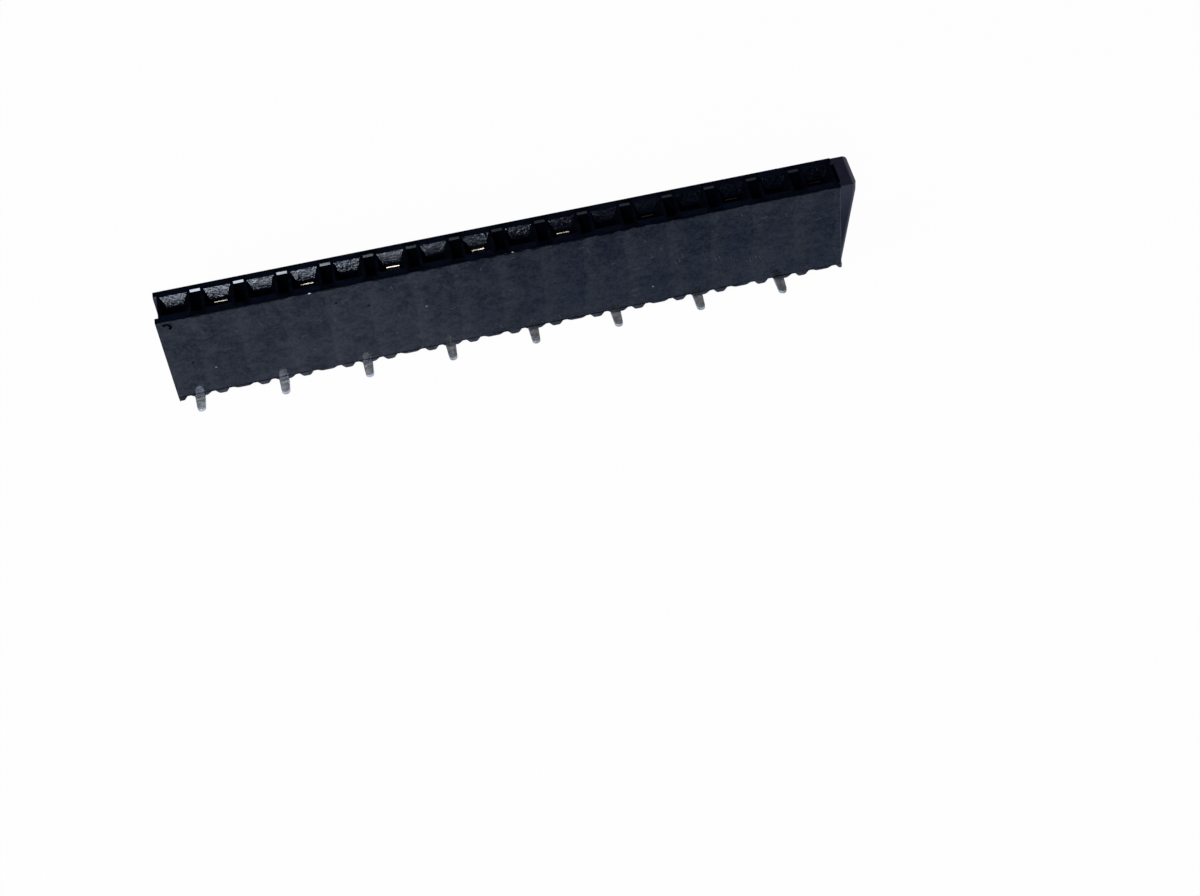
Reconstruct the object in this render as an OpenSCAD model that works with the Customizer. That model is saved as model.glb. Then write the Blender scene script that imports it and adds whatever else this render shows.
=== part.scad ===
// Single-row female pin header strip for surface mounting.
// One moulded housing holds a row of stamped spring contacts. Their solder legs leave the
// housing just under its base, in turn to the front and to the back.
// All sizes are in millimetres. Z = 0 is the board surface that the legs are soldered to,
// +Z is the way a plugged pin leaves, and the row runs along X.

/* [Row] */
// Number of contacts in the row
positions = 16; // [4:1:20]
// Distance between the centres of neighbouring contacts
pitch = 2.54; // [2.5:0.02:3.2]

/* [Housing] */
// Depth of the housing, across the row
body_d = 2.5; // [2.4:0.05:3]
// Height of the housing, from its base plane to its mating face
body_h = 6.5; // [6.2:0.1:9]
// Height of the base plane above the board
stand_h = 0.55; // [0.52:0.01:0.7]
// Thickness of the long walls at the contact cavities
wall = 0.4; // [0.3:0.05:0.5]
// Width of each contact cavity, along the row
cavity_w = 1.64; // [1.5:0.02:1.7]
// Thickness of the thin walls between a cavity and the pockets beside it
web = 0.17; // [0.12:0.01:0.22]
// Depth of the pockets that open in the base
pocket_depth = 2.9; // [2:0.1:3.1]

/* [Mating face] */
// Width of a lead-in funnel at its mouth, along the row
mouth_w = 1.57; // [1.4:0.01:1.66]
// Depth of a lead-in funnel at its mouth, across the row
mouth_d = 1.5; // [1.3:0.02:1.6]
// Width of the throat that the pin passes, along the row
throat_w = 1; // [0.8:0.02:1.1]
// Depth of the throat, across the row
throat_d = 0.74; // [0.7:0.02:1.1]
// Height of the funnel's sloping faces
funnel_h = 0.55; // [0.4:0.05:0.7]
// Height of the straight throat under the funnel
throat_h = 0.12; // [0.1:0.02:0.3]
// Thickness of the rim between a funnel and the relief slots beside it
rim = 0.18; // [0.14:0.01:0.24]
// Wall left at the two ends of a relief slot, at the mating face
slot_wall = 0.37; // [0.25:0.01:0.5]
// Size of the small bevel at the two ends of a relief slot
slot_bevel = 0.1; // [0.05:0.01:0.2]
// Depth of the relief slots
slot_depth = 2.8; // [2:0.1:3]
// Width of the narrower relief slot before the right end
last_slot_w = 0.2; // [0.1:0.02:0.24]

/* [Feet] */
// Height of the narrow feet between the contacts
narrow_foot_h = 0.34; // [0.25:0.01:0.5]
// Width of a narrow foot where it leaves the base plane
narrow_foot_w = 0.92; // [0.8:0.02:1]
// Width of a narrow foot's flat end
narrow_foot_end_w = 0.42; // [0.3:0.02:0.6]
// Height of the wide feet opposite the legs
wide_foot_h = 0.18; // [0.1:0.01:0.3]
// Height of the shields that the legs pass under
shield_h = 0.27; // [0.1:0.01:0.29]
// Width of a wide foot or a shield where it leaves the base plane
wide_foot_w = 1.36; // [1.2:0.02:1.5]
// Width of the flat end of a wide foot or a shield
wide_foot_end_w = 0.7; // [0.5:0.02:1.1]
// Bevel along the inner edge of every foot
foot_bevel = 0.15; // [0.05:0.01:0.18]
// How far the feet lie behind the long faces, which leaves a fine parting step
parting_step = 0.04; // [0.02:0.01:0.08]

/* [Cut ends] */
// How far the left cut lies past the row's end line at the base plane
left_over = 0.09; // [0.02:0.01:0.2]
// How far the left cut lies short of that line at the mating face
left_short = 0.09; // [0:0.01:0.15]
// How far the smooth long faces stop short of the right end line at the base plane
face_short_base = 0.08; // [0.05:0.01:0.15]
// How far they stop short of it at the mating face
face_short_top = 0.2; // [0.1:0.01:0.25]
// How far the right stub stands past the end line at its top
stub_top = 0.76; // [0.4:0.02:1]
// How far the right stub stops short of that line at the base plane
stub_short = 0.04; // [0:0.01:0.05]
// Height of the stub's upright part, above its slant
stub_upright = 0.6; // [0.2:0.1:2]
// How far the sides and the top of the stub lie behind the housing's own faces
stub_inset = 0.03; // [0.02:0.01:0.1]
// Radius of the stub's upright corners
stub_r = 0.26; // [0.1:0.02:0.3]

/* [Contacts] */
// Thickness of the stamped contact metal
stock = 0.22; // [0.18:0.01:0.25]
// Clearance between a contact and its cavity, on every side
fit_gap = 0.02; // [0.01:0.01:0.04]
// Size of the sloping corners of the contact's channel
corner = 0.38; // [0.25:0.01:0.42]
// Gap between the channel's open side and the cavity wall
open_gap = 0.16; // [0.05:0.01:0.3]
// Height of the channel above the base plane
channel_h = 2.3; // [1.5:0.1:2.8]
// Drop from the mating face to the top of the back plate
plate_drop = 1.1; // [1:0.05:1.4]
// Width of the back plate at its top
plate_w = 0.76; // [0.6:0.02:0.9]
// Lead-in bevel along the inner edge of the back plate's top
plate_bevel = 0.04; // [0.02:0.01:0.15]
// Drop from the mating face to the tips of the spring beams
beam_drop = 2.1; // [1.8:0.05:2.4]
// Width of a spring beam, across the row
beam_d = 0.78; // [0.5:0.02:0.9]
// Gap between the two spring beams where they grip the pin
grip_gap = 0.4; // [0.3:0.02:0.5]
// Height of the flared tips above the grip
flare_h = 0.55; // [0.3:0.05:0.8]
// How far each tip flares outwards
flare_out = 0.22; // [0.1:0.02:0.24]

/* [Solder legs] */
// Width of a leg at its root
leg_w = 0.62; // [0.5:0.02:0.7]
// Width of a leg where its round tip starts
leg_tip_w = 0.5; // [0.4:0.02:0.6]
// How far a leg lies to the left of its contact's centre, seen from outside
leg_aside = 0.14; // [0:0.01:0.16]
// How far a leg reaches past the long face of the housing
leg_reach = 0.94; // [0.7:0.02:1.3]
// Inner radius of the bend from the back plate to the leg
bend_r = 0.08; // [0.05:0.01:0.1]

/* [Hidden] */
$fn = 48;
// Overrun of a cutting shape past the face it opens
over = 0.2;
// Overlap of two features that are joined
join = 0.2;

row_l = positions * pitch;
left_x = -row_l / 2 - left_over;
right_x = row_l / 2 - stub_short;
// The model is shifted along X so that its own box is centred on the origin
row_shift = (left_over - stub_top) / 2;

base_z = stand_h;
top_z = base_z + body_h;
cavity_d = body_d - 2 * wall;
cavity_top_z = top_z - funnel_h - throat_h;
pocket_w = pitch - cavity_w - 2 * web;
slot_w = pitch - mouth_w - 2 * rim;
foot_d = wall - parting_step;

contact_w = cavity_w - 2 * fit_gap;
back_y = -cavity_d / 2 + fit_gap;
open_y = cavity_d / 2 - fit_gap - open_gap;
plate_top_z = top_z - plate_drop;
beam_top_z = top_z - beam_drop;
grip_z = beam_top_z - flare_h;
channel_top_z = base_z + channel_h;
bend_y = back_y - bend_r;
bend_z = bend_r + stock;
leg_tip_y = -body_d / 2 - leg_reach;

function contact_x(i) = (i - (positions + 1) / 2) * pitch;
function gap_x(i) = (i - positions / 2) * pitch;
function contact_name(i) = str("contact_", i < 10 ? "0" : "", i);

// A prism along Y whose outline is given as points in X and Z
module prism_y(outline, y0, y1)
    translate([0, y1, 0])
        rotate([90, 0, 0])
            linear_extrude(y1 - y0)
                polygon(outline);

// A prism along X whose outline is given as points in Y and Z
module prism_x(outline, x0, x1)
    translate([x0, 0, 0])
        rotate([90, 0, 90])
            linear_extrude(x1 - x0)
                polygon(outline);

// A box given by its two ends along each axis
module box(x0, x1, y0, y1, z0, z1)
    translate([x0, y0, z0])
        cube([x1 - x0, y1 - y0, z1 - z0]);

// Outline of one direction of a funnel, wider at the mating face and open above it
function funnel_outline(mouth, throat) = [
    [-mouth / 2, top_z + over],
    [-mouth / 2, top_z],
    [-throat / 2, top_z - funnel_h],
    [-throat / 2, cavity_top_z - over],
    [throat / 2, cavity_top_z - over],
    [throat / 2, top_z - funnel_h],
    [mouth / 2, top_z],
    [mouth / 2, top_z + over],
];

// The hollow that holds one contact, with its lead-in funnel
module socket_hollow() {
    box(-cavity_w / 2, cavity_w / 2, -cavity_d / 2, cavity_d / 2, base_z - stand_h, cavity_top_z);
    intersection() {
        prism_y(funnel_outline(mouth_w, throat_w), -body_d, body_d);
        prism_x(funnel_outline(mouth_d, throat_d), -pitch, pitch);
    }
}

// The relief slot in the mating face, from x0 to x1
module relief_slot(x0, x1) {
    slot_d = body_d - 2 * slot_wall;
    prism_x([
        [-slot_d / 2, top_z + over],
        [-slot_d / 2, top_z],
        [-slot_d / 2 + slot_bevel, top_z - slot_bevel],
        [-slot_d / 2 + slot_bevel, top_z - slot_depth],
        [slot_d / 2 - slot_bevel, top_z - slot_depth],
        [slot_d / 2 - slot_bevel, top_z - slot_bevel],
        [slot_d / 2, top_z],
        [slot_d / 2, top_z + over],
    ], x0, x1);
}

// The pocket in the base, from x0 to x1
module base_pocket(x0, x1)
    box(x0, x1, -cavity_d / 2, cavity_d / 2, 0, base_z + pocket_depth);

// Slots and pockets lie between the contacts. The left end's are cut open. Before the right
// stub there is a narrower slot and no pocket.
module relief_row() {
    for (i = [0:positions - 1]) {
        x = gap_x(i);
        left = i == 0 ? left_over + over : 0;
        relief_slot(x - slot_w / 2 - left, x + slot_w / 2);
        base_pocket(x - pocket_w / 2 - left, x + pocket_w / 2);
    }
    last_x = gap_x(positions) - slot_w / 2;
    relief_slot(last_x, last_x + last_slot_w);
}

// One foot on the front edge: sloping sides along the row and a bevel along its inner edge
module foot(h, root_w, end_w)
    intersection() {
        prism_y([
            [-root_w / 2, base_z],
            [-end_w / 2, base_z - h],
            [end_w / 2, base_z - h],
            [root_w / 2, base_z],
        ], -body_d, 0);
        prism_x([
            [-body_d / 2 + parting_step, base_z],
            [-body_d / 2 + parting_step, base_z - h],
            [-cavity_d / 2 - foot_bevel, base_z - h],
            [-cavity_d / 2, base_z - h + foot_bevel],
            [-cavity_d / 2, base_z],
        ], -root_w, root_w);
    }

// Odd contacts turn their legs to the front, even contacts turn them to the back
module turned(i)
    rotate([0, 0, i % 2 == 1 ? 0 : 180])
        children();

module feet_row() {
    for (i = [1:positions])
        translate([contact_x(i), 0, 0])
            turned(i) {
                foot(shield_h, wide_foot_w, wide_foot_end_w);
                rotate([0, 0, 180])
                    foot(wide_foot_h, wide_foot_w, wide_foot_end_w);
            }
    intersection() {
        for (i = [0:positions], side = [0, 180])
            translate([gap_x(i), 0, 0])
                rotate([0, 0, side])
                    foot(narrow_foot_h, narrow_foot_w, narrow_foot_end_w);
        box(left_x, right_x, -body_d, body_d, 0, base_z);
    }
}

// The solid body, with a slanting cut at its left and slanting ends of its long faces
module body()
    prism_y([
        [left_x, base_z],
        [-row_l / 2 + left_short, top_z],
        [row_l / 2 - face_short_top, top_z],
        [row_l / 2 - face_short_base, base_z],
    ], -body_d / 2, body_d / 2);

// Plan of the stub up to its end at x = 0, with two rounded corners
module stub_plan() {
    depth = body_d - 2 * stub_inset;
    translate([-pitch, -depth / 2])
        square([pitch - stub_r, depth]);
    translate([-pitch, -depth / 2 + stub_r])
        square([pitch, depth - 2 * stub_r]);
    for (side = [-1, 1])
        translate([-stub_r, side * (depth / 2 - stub_r)])
            circle(stub_r);
}

// The stub that the cut left at the right end: upright at its top and slanting below
module cut_stub() {
    stub_h = body_h - stub_inset;
    slant_h = stub_h - stub_upright;
    intersection() {
        translate([right_x, 0, base_z])
            rotate([0, atan((stub_top + stub_short) / slant_h), 0])
                translate([0, 0, -body_h])
                    linear_extrude(3 * body_h)
                        stub_plan();
        translate([row_l / 2 + stub_top, 0, base_z])
            linear_extrude(stub_h)
                stub_plan();
        box(row_l / 2 - face_short_top - join, row_l / 2 + pitch,
            -body_d, body_d, base_z, top_z);
    }
}

module housing()
    color("#15171d")
        translate([row_shift, 0, 0])
            difference() {
                union() {
                    body();
                    cut_stub();
                    feet_row();
                }
                for (i = [1:positions])
                    translate([contact_x(i), 0, 0])
                        socket_hollow();
                relief_row();
            }

// Plan of the channel: a back with two sloping corners, and a wing at each side
module channel_plan() {
    inner = stock * tan(22.5);
    side = contact_w / 2;
    polygon([
        [-side, open_y],
        [-side, back_y + corner],
        [-side + corner, back_y],
        [side - corner, back_y],
        [side, back_y + corner],
        [side, open_y],
        [side - stock, open_y],
        [side - stock, back_y + corner + inner],
        [side - corner - inner, back_y + stock],
        [-side + corner + inner, back_y + stock],
        [-side + stock, back_y + corner + inner],
        [-side + stock, open_y],
    ]);
}

// The back plate, which rises from the channel's back to just under the funnel
module back_plate()
    prism_x([
        [back_y, base_z],
        [back_y, plate_top_z],
        [back_y + stock - plate_bevel, plate_top_z],
        [back_y + stock, plate_top_z - plate_bevel],
        [back_y + stock, base_z],
    ], -plate_w / 2, plate_w / 2);

// One spring beam, which rises from its wing, leans in to the grip and flares at its tip
module spring_beam() {
    root_z = channel_top_z - join;
    lean_z = channel_top_z + join;
    side = contact_w / 2;
    grip = grip_gap / 2;
    tip = grip + flare_out;
    prism_y([
        [side, root_z],
        [side, lean_z],
        [grip + stock, grip_z],
        [tip + stock, beam_top_z],
        [tip, beam_top_z],
        [grip, grip_z],
        [side - stock, lean_z],
        [side - stock, root_z],
    ], open_y - beam_d, open_y);
}

// Side view of the space inside a bend of radius r, which opens away from the channel
module bend_side(r) {
    reach = leg_reach + body_d;
    translate([bend_y, bend_z])
        circle(r);
    translate([bend_y - reach, bend_z - r])
        square([reach, body_h]);
    translate([bend_y - reach, bend_z])
        square([reach + r, body_h]);
}

// The leg: down from the back plate, round the bend and out under the housing's wall
module solder_leg() {
    tip_r = leg_tip_w / 2;
    root_y = back_y + stock + join;
    translate([-leg_aside, 0, 0])
        intersection() {
            linear_extrude(base_z + join) {
                polygon([
                    [-leg_w / 2, root_y],
                    [-leg_w / 2, bend_y],
                    [-tip_r, leg_tip_y + tip_r],
                    [tip_r, leg_tip_y + tip_r],
                    [leg_w / 2, bend_y],
                    [leg_w / 2, root_y],
                ]);
                translate([0, leg_tip_y + tip_r])
                    circle(tip_r);
            }
            translate([-leg_w, 0, 0])
                rotate([90, 0, 90])
                    linear_extrude(2 * leg_w)
                        difference() {
                            bend_side(bend_r + stock);
                            bend_side(bend_r);
                        }
        }
}

module contact(i)
    color("#c9b07a")
        translate([row_shift + contact_x(i), 0, 0])
            turned(i) {
                translate([0, 0, base_z])
                    linear_extrude(channel_h)
                        channel_plan();
                back_plate();
                spring_beam();
                mirror([1, 0, 0])
                    spring_beam();
                solder_leg();
            }

housing();
for (i = [1:positions])
    contact(i);
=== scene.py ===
"""Looks for a surface-mount female pin header strip: one black moulded housing and sixteen
plated spring contacts, each dressed from its own CAD solid with softened edges and a finish."""

import math

import bpy
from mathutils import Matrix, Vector


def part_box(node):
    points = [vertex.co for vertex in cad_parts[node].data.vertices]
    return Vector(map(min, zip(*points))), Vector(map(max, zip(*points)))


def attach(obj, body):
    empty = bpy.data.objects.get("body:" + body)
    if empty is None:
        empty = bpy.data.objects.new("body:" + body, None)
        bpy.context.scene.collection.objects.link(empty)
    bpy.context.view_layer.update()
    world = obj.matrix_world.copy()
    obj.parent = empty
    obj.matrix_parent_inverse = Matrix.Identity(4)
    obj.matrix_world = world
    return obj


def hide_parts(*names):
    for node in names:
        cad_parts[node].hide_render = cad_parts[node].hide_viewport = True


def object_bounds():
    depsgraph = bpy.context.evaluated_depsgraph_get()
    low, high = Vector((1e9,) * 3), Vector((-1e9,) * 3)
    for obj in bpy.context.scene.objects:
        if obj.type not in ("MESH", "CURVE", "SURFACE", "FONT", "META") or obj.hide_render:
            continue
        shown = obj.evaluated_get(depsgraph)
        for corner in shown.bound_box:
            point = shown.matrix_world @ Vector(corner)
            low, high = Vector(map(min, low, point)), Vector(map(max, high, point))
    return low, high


MM = 0.001

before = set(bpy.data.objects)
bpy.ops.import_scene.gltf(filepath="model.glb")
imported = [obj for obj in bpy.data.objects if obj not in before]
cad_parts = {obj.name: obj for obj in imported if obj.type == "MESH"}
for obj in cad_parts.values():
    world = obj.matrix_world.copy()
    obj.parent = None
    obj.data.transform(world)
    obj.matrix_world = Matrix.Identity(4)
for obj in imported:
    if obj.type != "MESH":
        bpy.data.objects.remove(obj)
cad_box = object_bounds()


# ---------------------------------------------------------------- measures from the CAD

contact_names = sorted(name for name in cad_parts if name.startswith("contact_"))
housing_low, housing_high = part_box("housing")
strip_high = cad_box[1]
first_low, first_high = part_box(contact_names[0])
last_low, last_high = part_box(contact_names[-1])

first_x = (first_low.x + first_high.x) / 2 / MM
last_x = (last_low.x + last_high.x) / 2 / MM
pitch = (last_x - first_x) / (len(contact_names) - 1)
top_z = housing_high.z / MM
front_y = housing_low.y / MM
back_y = housing_high.y / MM
left_x = housing_low.x / MM
row_end_x = last_x + pitch / 2
base_z = 0.55  # the housing's base plane, above the board
funnel_h = 0.55  # from the mating face down to the end of the funnels' slopes


# ---------------------------------------------------------------- finishes

class Value:
    """One number or colour that varies over a finish, with its maths written as Python."""

    def __init__(self, finish, socket):
        self.finish = finish
        self.socket = socket

    def maths(self, operation, *values):
        return self.finish.node("Math", {"operation": operation}, dict(enumerate(values)))

    def __add__(self, other):
        return self.maths("ADD", self, other)

    def __radd__(self, other):
        return self.maths("ADD", other, self)

    def __sub__(self, other):
        return self.maths("SUBTRACT", self, other)

    def __rsub__(self, other):
        return self.maths("SUBTRACT", other, self)

    def __mul__(self, other):
        return self.maths("MULTIPLY", self, other)

    def __truediv__(self, other):
        return self.maths("DIVIDE", self, other)

    def __lt__(self, other):
        return self.maths("LESS_THAN", self, other)

    def __gt__(self, other):
        return self.maths("GREATER_THAN", self, other)

    def ramp(self, low, high):
        """0 below low, 1 above high and smooth between."""
        return self.finish.node(
            "MapRange",
            {"interpolation_type": "SMOOTHSTEP"},
            {"Value": self, "From Min": low, "From Max": high},
        )


class Finish:
    """A material whose patterns are laid out in millimetres of the object's own space."""

    def __init__(self, name, **fixed):
        self.material = bpy.data.materials.new(name)
        self.material.use_nodes = True
        self.tree = self.material.node_tree
        self.shader = self.tree.nodes["Principled BSDF"]
        for socket, value in fixed.items():
            self.shader.inputs[socket.replace("_", " ")].default_value = value
        place = self.node("TexCoord", output="Object")
        self.mm = self.node("Mapping", {}, {"Vector": place, "Scale": (1 / MM,) * 3})

    def node(self, kind, settings=None, inputs=None, output=0):
        node = self.tree.nodes.new("ShaderNode" + kind)
        for setting, value in (settings or {}).items():
            setattr(node, setting, value)
        for socket, value in (inputs or {}).items():
            self.feed(node.inputs[socket], value)
        return Value(self, node.outputs[output])

    def feed(self, socket, value):
        if isinstance(value, Value):
            self.tree.links.new(value.socket, socket)
        else:
            socket.default_value = value

    def axis(self, letter):
        return self.node("SeparateXYZ", {}, {"Vector": self.mm}, letter)

    def noise(self, size, detail=2.0, stretch=(1, 1, 1), shift=(0, 0, 0)):
        """Cloudy noise from 0 to 1 with patches about size millimetres across."""
        scale = tuple(1 / (size * s) for s in stretch)
        place = self.node("Mapping", {}, {"Vector": self.mm, "Scale": scale, "Location": shift})
        return self.node("TexNoise", {}, {"Vector": place, "Scale": 1.0, "Detail": detail})

    def specks(self, spacing, radius, stretch=(1, 1, 1), shift=(0, 0, 0), turn=0.0):
        """1 in small dots, one in each cell of about spacing millimetres, and 0 elsewhere."""
        turned = self.node("Mapping", {}, {"Vector": self.mm, "Rotation": (0, turn, 0)})
        scale = tuple(1 / (spacing * s) for s in stretch)
        place = self.node("Mapping", {}, {"Vector": turned, "Scale": scale, "Location": shift})
        distance = self.node("TexVoronoi", {}, {"Vector": place, "Scale": 1.0}, "Distance")
        return distance < radius / spacing

    def mix(self, amount, first, second):
        """A colour between first and second."""
        return self.node(
            "Mix",
            {"data_type": "RGBA"},
            {"Factor": amount, 6: first, 7: second},
            2,
        )

    def bump(self, height, strength, depth_mm):
        return self.node(
            "Bump", {}, {"Height": height, "Strength": strength, "Distance": depth_mm * MM}
        )

    def use(self, **varying):
        for socket, value in varying.items():
            self.feed(self.shader.inputs[socket.replace("_", " ")], value)
        return self.material


def gouge(finish):
    """A small hook-shaped gouge near the upper left corner of the front face."""
    centre_x, centre_z = left_x + 0.75, top_z - 0.5
    inner_r, outer_r = 0.13, 0.3
    across = finish.axis("X") - centre_x
    up = finish.axis("Z") - centre_z
    radius = finish.node("Math", {"operation": "SQRT"}, {0: across * across + up * up})
    ring = (radius < outer_r) * (radius > inner_r)
    return ring * (across + up > -0.08)


def moulded_plastic():
    """Glossy black moulding: sink marks over the cavities, mottling, fine scratches and dust, with
    painted light: a pale edge highlight at the right end of the long faces, paler feet, and their
    reflection damped towards the top.
    """
    finish = Finish("moulded_plastic", IOR=1.37, Specular_Tint=(0.6, 0.76, 1.0, 1))
    x, z = finish.axis("X"), finish.axis("Z")
    front = finish.axis("Y") < front_y + 0.05
    long_face = front + (finish.axis("Y") > back_y - 0.05)
    wander = finish.noise(1.6, 1.0, (1, 1, 2)) * 0.3
    step = finish.node("Math", {"operation": "FRACT"}, {0: (x - first_x) / pitch + 19.85 + wander})
    bands = step.ramp(0.28, 0.32) - step.ramp(0.4, 0.8)
    patches = finish.noise(1.8, 3.0, (1.6, 1, 1), (1, 5, 8)).ramp(0.4, 0.6)
    mottle = finish.noise(0.45, 5.0, (1.4, 1, 1), (3, 1, 2)).ramp(0.36, 0.64)
    grain = finish.noise(0.17, 3.0).ramp(0.34, 0.66)
    cloud = bands * 0.22 + patches * 0.2 + mottle * 0.23 + grain * 0.35
    across = finish.node("Math", {"operation": "FRACT"}, {0: (x - first_x) / pitch + 20.5})
    beside_socket = across.ramp(0.14, 0.24) - across.ramp(0.76, 0.86)
    sheen = mottle * 0.4 + grain * 0.2 + beside_socket * 0.4
    black_tone = finish.mix(sheen, (0.0001, 0.0002, 0.0015, 1), (0.0026, 0.0042, 0.0112, 1))
    tone = finish.mix(cloud * long_face, black_tone, (0.012, 0.0122, 0.0155, 1))
    worn = finish.noise(1.1, 1.0, shift=(7, 0, 0)).ramp(0.46, 0.56) * long_face
    ticks = finish.specks(1.9, 0.2, (0.13, 1, 1), (2, 5, 1), 0.3)
    level = finish.specks(2.3, 0.24, (1, 1, 0.1), (6, 2, 3), 0.2)
    dust = finish.specks(1.7, 0.07, shift=(4, 2, 9)) * finish.noise(3.5, 1.0).ramp(0.48, 0.54)
    pits = finish.specks(2.4, 0.1, shift=(9, 5, 4))
    # Painted edge highlight: a pale strip along the right end of the long faces.
    painted_edge_highlight = (x > row_end_x - 0.13 - (z - base_z) * 0.0185) * long_face
    # Painted highlight: paler streaks on the feet of the long faces.
    painted_foot_light = (z < base_z - 0.02) * long_face * finish.noise(0.5, 3.0).ramp(0.3, 0.6)
    parting = (z < base_z + 0.09) * (z > base_z - 0.02) * finish.noise(1.5).ramp(0.35, 0.6)
    chips = finish.specks(0.8, 0.075, shift=(3, 3, 0)) * (z > top_z - 0.1) * front
    smear = (z > top_z - 0.31 + finish.noise(0.5, 4.0) * 0.45) * 0.8
    marks = gouge(finish) * front + (pits * 0.7 + parting * 0.9) * long_face
    scars = finish.node("Math", {"operation": "MAXIMUM"}, {0: marks, 1: smear * front})
    black = scars * (1 - chips)
    scratched = finish.mix((ticks + level) * worn * 0.4, tone, (0.10, 0.11, 0.14, 1))
    dusty = finish.mix(dust * long_face * 0.8, scratched, (0.16, 0.17, 0.19, 1))
    # The painted edge highlight and the painted highlights on the feet go into the colour here.
    edge_and_feet_lit = finish.mix(painted_edge_highlight * 0.4 + painted_foot_light * 0.3, dusty, (0.07, 0.08, 0.11, 1))
    darkened = finish.mix(black, edge_and_feet_lit, (0.0002, 0.0003, 0.0008, 1))
    colour = finish.mix(chips, darkened, (0.75, 0.75, 0.8, 1))
    # Painted shade: the long faces' reflection is damped through a near-black metallic, in the
    # darker mottling and more towards the top.
    painted_top_shade = (1 - cloud) * long_face * (0.16 + z.ramp(base_z, top_z) * 0.24)
    height = finish.noise(0.5, 3.0, (1, 1, 3)) + grain * 0.2 + bands * 0.2
    return finish.use(
        Base_Color=colour,
        Metallic=black + (1 - black) * painted_top_shade,
        Roughness=cloud * 0.12 + 0.1,
        Coat_Weight=cloud * 0.4 * (1 - black),
        Normal=finish.bump(height, 0.14, 0.02),
    )


def funnel_texture():
    """The spark-eroded grain that the mould leaves on the funnel slopes, with a little dust."""
    finish = Finish("funnel_texture", IOR=1.5, Specular_Tint=(0.8, 0.88, 1.0, 1))
    reach_squared = 0.57
    across = finish.axis("Y")
    slope = across * across < reach_squared
    grain = finish.noise(0.1, 4.0)
    pits = finish.noise(0.12, 2.0, shift=(2, 6, 4)).ramp(0.44, 0.6) * slope
    cloud = finish.noise(0.4, 3.0, (1.6, 1, 1), (5, 0, 3))
    dust = finish.specks(1.3, 0.045, shift=(1, 4, 2))
    plain = finish.mix(grain, (0.0003, 0.0008, 0.0030, 1), (0.0018, 0.0036, 0.0100, 1))
    return finish.use(
        Base_Color=finish.mix(dust * 0.5, plain, (0.10, 0.11, 0.14, 1)),
        Metallic=pits * 0.85,
        Roughness=0.09 + cloud * 0.08,
        Normal=finish.bump((grain + cloud * 0.5) * slope, 0.3, 0.04),
    )


def core_matt():
    """Dull walls of the cavities, slots and pockets, which no light finds its way out of."""
    finish = Finish("core_matt", IOR=1.15, Specular_Tint=(0.5, 0.65, 1.0, 1))
    grain = finish.noise(0.15, 3.0)
    colour = finish.mix(grain, (0.0002, 0.0003, 0.0012, 1), (0.0008, 0.0012, 0.0036, 1))
    return finish.use(Base_Color=colour, Roughness=0.5 + grain * 0.2)


def cut_end():
    """Dull, smeared plastic where the strip was cut to length, with painted light: paler towards
    the top and a painted reflection along the outer rim.
    """
    finish = Finish("cut_end", IOR=1.26, Specular_Tint=(0.7, 0.8, 1.0, 1))
    smear = finish.noise(0.22, 4.0, (1, 1, 3))
    slant = row_end_x - 0.04 + (finish.axis("Z") - base_z) * 0.136
    outer = finish.node("Math", {"operation": "MINIMUM"}, {0: slant, 1: strip_high.x / MM})
    # Painted reflection: paler towards the outer rim.
    painted_rim_reflection = (finish.axis("X") - outer).ramp(-0.26, -0.1)
    # Painted light: paler towards the top, less so on the top face itself.
    painted_top_light = finish.axis("Z").ramp(top_z - 3, top_z) * 0.24
    lit_top = (finish.axis("Z") > top_z - 0.03) * 0.17
    dull = finish.mix(smear, (0.003, 0.004, 0.010, 1), (0.014, 0.017, 0.030, 1))
    pale = finish.mix(painted_top_light - lit_top, dull, (0.08, 0.09, 0.13, 1))
    return finish.use(
        Base_Color=finish.mix(painted_rim_reflection * 0.6, pale, (0.13, 0.135, 0.165, 1)),
        Roughness=0.4 + smear * 0.2,
        Normal=finish.bump(smear, 0.5, 0.03),
    )


def plated_metal():
    """Pale gold flash on the spring, darker towards both ends of the strip as painted shade, and
    dull tin on the leg.
    """
    finish = Finish("plated_metal")
    plated = finish.axis("Z").ramp(base_z - 0.1, base_z + 0.35)
    # Painted shade: the gold darkens to the right of x = 2 mm and, in part, to the left of x = -8
    # mm.
    painted_end_shade = finish.axis("X").ramp(2, 5.6) + (1 - finish.axis("X").ramp(-13, -8)) * 0.8
    grain = finish.noise(0.05, 3.0, shift=(1, 2, 3))
    streak = finish.noise(0.12, 3.0, (0.6, 6, 1))
    patch = finish.noise(0.3, 2.0, shift=(8, 3, 0)).ramp(0.36, 0.62)
    bright = finish.mix(patch, (0.38, 0.335, 0.295, 1), (0.82, 0.75, 0.68, 1))
    gold = finish.mix(painted_end_shade, bright, (0.02, 0.017, 0.015, 1))
    tin = finish.mix(patch, (0.34, 0.35, 0.37, 1), (0.60, 0.61, 0.64, 1))
    return finish.use(
        Base_Color=finish.mix(plated, tin, gold),
        Metallic=0.75 + plated * 0.25,
        Roughness=0.24 + plated * 0.02 + streak * 0.14,
        Normal=finish.bump(streak + grain * 0.4, 0.14, 0.02),
    )


# ---------------------------------------------------------------- pieces

MOULDED, FUNNEL, CUT_END, INNER_WALL = range(4)
weld_distance = 0.001
flat_angle = math.radians(0.5)
smooth_angle = math.radians(35)
foot_rounding = 0.08
same_place = 0.01


def start_edit(piece, kind):
    bpy.context.view_layer.objects.active = piece
    bpy.ops.object.mode_set(mode="EDIT")
    bpy.ops.mesh.select_mode(type=kind)
    bpy.ops.mesh.select_all(action="DESELECT")
    bpy.ops.object.mode_set(mode="OBJECT")


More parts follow.
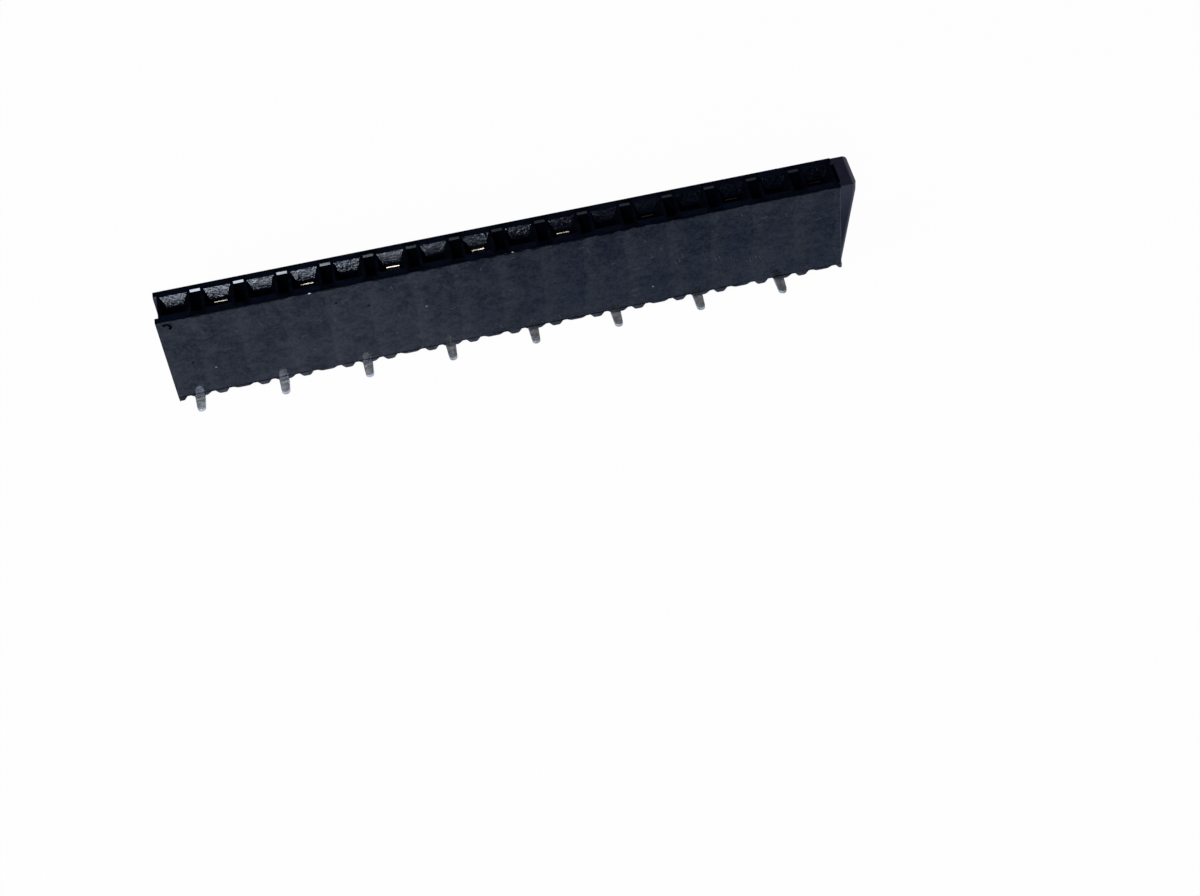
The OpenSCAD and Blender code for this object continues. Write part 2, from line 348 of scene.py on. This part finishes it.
def select_edges(piece, wanted):
    """Selects the edges whose two ends, in millimetres, are wanted."""
    start_edit(piece, "EDGE")
    points = piece.data.vertices
    for edge in piece.data.edges:
        a, b = (points[i].co for i in edge.vertices)
        edge.select = wanted(a, b)
    bpy.ops.object.mode_set(mode="EDIT")


def dressed_copy(node, name):
    """A welded copy of a CAD node in millimetres, with each flat face whole again."""
    piece = bpy.data.objects.new(name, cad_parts[node].data.copy())
    bpy.context.scene.collection.objects.link(piece)
    bpy.ops.object.select_all(action="DESELECT")
    piece.select_set(True)
    bpy.context.view_layer.objects.active = piece
    piece.scale = (1 / MM,) * 3
    bpy.ops.object.transform_apply(location=False, rotation=False, scale=True)
    bpy.ops.object.mode_set(mode="EDIT")
    bpy.ops.mesh.select_all(action="SELECT")
    bpy.ops.mesh.remove_doubles(threshold=weld_distance)
    bpy.ops.mesh.dissolve_limited(angle_limit=flat_angle)
    bpy.ops.object.mode_set(mode="OBJECT")
    return piece


def soften(piece, width, segments, angle):
    """Rounds the remaining sharp edges and smooths what is already round."""
    bpy.context.view_layer.objects.active = piece
    bevel = piece.modifiers.new("soft_edges", "BEVEL")
    bevel.width = width
    bevel.segments = segments
    bevel.limit_method = "ANGLE"
    bevel.angle_limit = math.radians(angle)
    bpy.ops.object.modifier_apply(modifier=bevel.name)
    bpy.ops.object.shade_smooth_by_angle(angle=smooth_angle)
    flat = piece.modifiers.new("flat_faces", "WEIGHTED_NORMAL")
    flat.keep_sharp = True
    bpy.ops.object.modifier_apply(modifier=flat.name)


def finish_piece(piece, node):
    """Back to metres, on the body, in the place of its CAD node."""
    bpy.ops.object.select_all(action="DESELECT")
    piece.select_set(True)
    bpy.context.view_layer.objects.active = piece
    piece.scale = (MM,) * 3
    bpy.ops.object.transform_apply(location=False, rotation=False, scale=True)
    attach(piece, "root")
    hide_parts(node)


def along_y(a, b):
    return abs(a.x - b.x) < same_place and abs(a.z - b.z) < same_place and abs(a.y - b.y) > 0.1


def foot_ends(a, b):
    """The convex edges at the flat end of every foot."""
    return along_y(a, b) and a.z < base_z - 0.15 and left_x + 0.05 < a.x < row_end_x


def housing_region(face):
    """Which finish a face of the housing has, from where it lies and where it looks."""
    place, looks = face.center, face.normal
    on_stub = place.x > row_end_x + 0.02
    in_left_cut = place.x < left_x + 0.35
    on_right_end = place.x > row_end_x - 0.3 and looks.x > 0.9
    if on_stub or in_left_cut or on_right_end:
        return CUT_END
    sloping = 0.3 < looks.z < 0.75
    if sloping and place.z > top_z - funnel_h and abs(place.y) < 1:
        return FUNNEL if abs(looks.x) < 0.3 else INNER_WALL
    if place.z < top_z - 0.3 and abs(place.y) < 0.9:
        return INNER_WALL
    return MOULDED


def make_housing():
    housing = dressed_copy("housing", "moulded_housing")
    housing.data.materials.clear()
    finishes = {
        MOULDED: moulded_plastic(),
        FUNNEL: funnel_texture(),
        CUT_END: cut_end(),
        INNER_WALL: core_matt(),
    }
    for region in sorted(finishes):
        housing.data.materials.append(finishes[region])
    for face in housing.data.polygons:
        face.material_index = housing_region(face)
    select_edges(housing, foot_ends)
    bpy.ops.mesh.bevel(offset=foot_rounding, segments=3, affect="EDGES", clamp_overlap=True)
    bpy.ops.object.mode_set(mode="OBJECT")
    soften(housing, width=0.018, segments=2, angle=40)
    finish_piece(housing, "housing")


def make_contacts():
    metal = plated_metal()
    for node in contact_names:
        spring = dressed_copy(node, node.replace("contact", "spring_contact"))
        spring.data.materials.clear()
        spring.data.materials.append(metal)
        soften(spring, width=0.014, segments=2, angle=40)
        finish_piece(spring, node)


make_housing()
make_contacts()


# ---------------------------------------------------------------- floor, light and camera

floor_size = 3.0
floor_drop = 0.00002  # keeps the floor clear of the legs' undersides
sensor_width = 36.0
focal_length = 61.216
camera_place = (-0.004616, -0.084793, 0.090718)
camera_turn = (0.680885, 0.079321, -0.198680)


def make_floor():
    """A pale table that shows white to the eye and keeps the strip's shadow. In glossy rays it
    glows blue, dimmer to the right, as a painted reflection.
    """
    bpy.ops.object.select_all(action="DESELECT")
    bpy.ops.mesh.primitive_plane_add(size=floor_size, location=(0, 0, -floor_drop))
    floor = bpy.context.object
    floor.name = "floor"
    finish = Finish("pale_table", Roughness=0.9, IOR=1.2)
    seen = finish.node("LightPath", output="Is Camera Ray")
    shade = finish.axis("X").ramp(-5, 3)
    mirrored = finish.node("LightPath", output="Is Glossy Ray")
    paper = finish.node("BsdfDiffuse", {}, {"Color": (0.86, 0.86, 0.87, 1)})
    white = finish.node("Emission", {}, {"Color": (1, 1, 1, 1), "Strength": 1.0})
    # Painted reflection: glossy faces mirror a blue glow from the table, darker to the right.
    painted_reflection_tint = finish.mix(shade, (0.69, 0.76, 0.95, 1), (0.40, 0.50, 0.69, 1))
    painted_reflection_glow = finish.node("Emission", {}, {"Color": painted_reflection_tint, "Strength": 1.0})
    plain = finish.node("MixShader", {}, {0: mirrored * 0.85, 1: paper, 2: painted_reflection_glow})
    mixed = finish.node("MixShader", {}, {0: seen * 0.97, 1: plain, 2: white})
    output = finish.tree.nodes["Material Output"]
    finish.tree.links.new(mixed.socket, output.inputs["Surface"])
    floor.data.materials.append(finish.material)


def add_lamp(name, place, aim, size, power):
    lamp = bpy.data.lights.new(name, "AREA")
    lamp.shape = "RECTANGLE"
    lamp.size, lamp.size_y = size
    lamp.energy = power
    holder = bpy.data.objects.new(name, lamp)
    holder.location = place
    holder.rotation_euler = (Vector(aim) - Vector(place)).to_track_quat("-Z", "Y").to_euler()
    bpy.context.scene.collection.objects.link(holder)


def make_room():
    """A dim room, so that the glossy top stays black, which shows white to the eye."""
    world = bpy.data.worlds.new("dim_room")
    world.use_nodes = True
    nodes, links = world.node_tree.nodes, world.node_tree.links
    dim = nodes["Background"]
    dim.inputs["Color"].default_value = (0.8, 0.9, 1, 1)
    dim.inputs["Strength"].default_value = 0.02
    white = nodes.new("ShaderNodeBackground")
    white.inputs["Color"].default_value = (1, 1, 1, 1)
    white.inputs["Strength"].default_value = 1.0
    path = nodes.new("ShaderNodeLightPath")
    choice = nodes.new("ShaderNodeMixShader")
    links.new(path.outputs["Is Camera Ray"], choice.inputs[0])
    links.new(dim.outputs["Background"], choice.inputs[1])
    links.new(white.outputs["Background"], choice.inputs[2])
    links.new(choice.outputs["Shader"], nodes["World Output"].inputs["Surface"])
    bpy.context.scene.world = world


def make_light():
    """A soft key lamp at the front left, a small one under it that the funnels catch, a faint
    one at the front right and a broad one at the left."""
    add_lamp("key", (-0.098, -0.34, 0.30), (-0.009, 0, 0.005), (0.105, 0.175), 1.25)
    add_lamp("glint", (-0.057, -0.41, 0.197), (-0.016, 0, 0.007), (0.03, 0.03), 0.2)
    add_lamp("fill", (0.05, -0.34, 0.30), (0.01, 0, 0.005), (0.13, 0.15), 0.03)
    add_lamp("side", (-0.35, -0.15, 0.45), (0, 0, 0.005), (0.25, 0.25), 1.2)


def make_camera():
    lens = bpy.data.cameras.new("camera")
    lens.sensor_fit = "HORIZONTAL"
    lens.sensor_width = sensor_width
    lens.lens = focal_length
    lens.clip_start = 0.01
    lens.clip_end = 10.0
    camera = bpy.data.objects.new("camera", lens)
    camera.location = camera_place
    camera.rotation_euler = camera_turn
    bpy.context.scene.collection.objects.link(camera)
    bpy.context.scene.camera = camera


make_floor()
make_room()
make_light()
make_camera()
bpy.context.scene.view_settings.view_transform = "Standard"
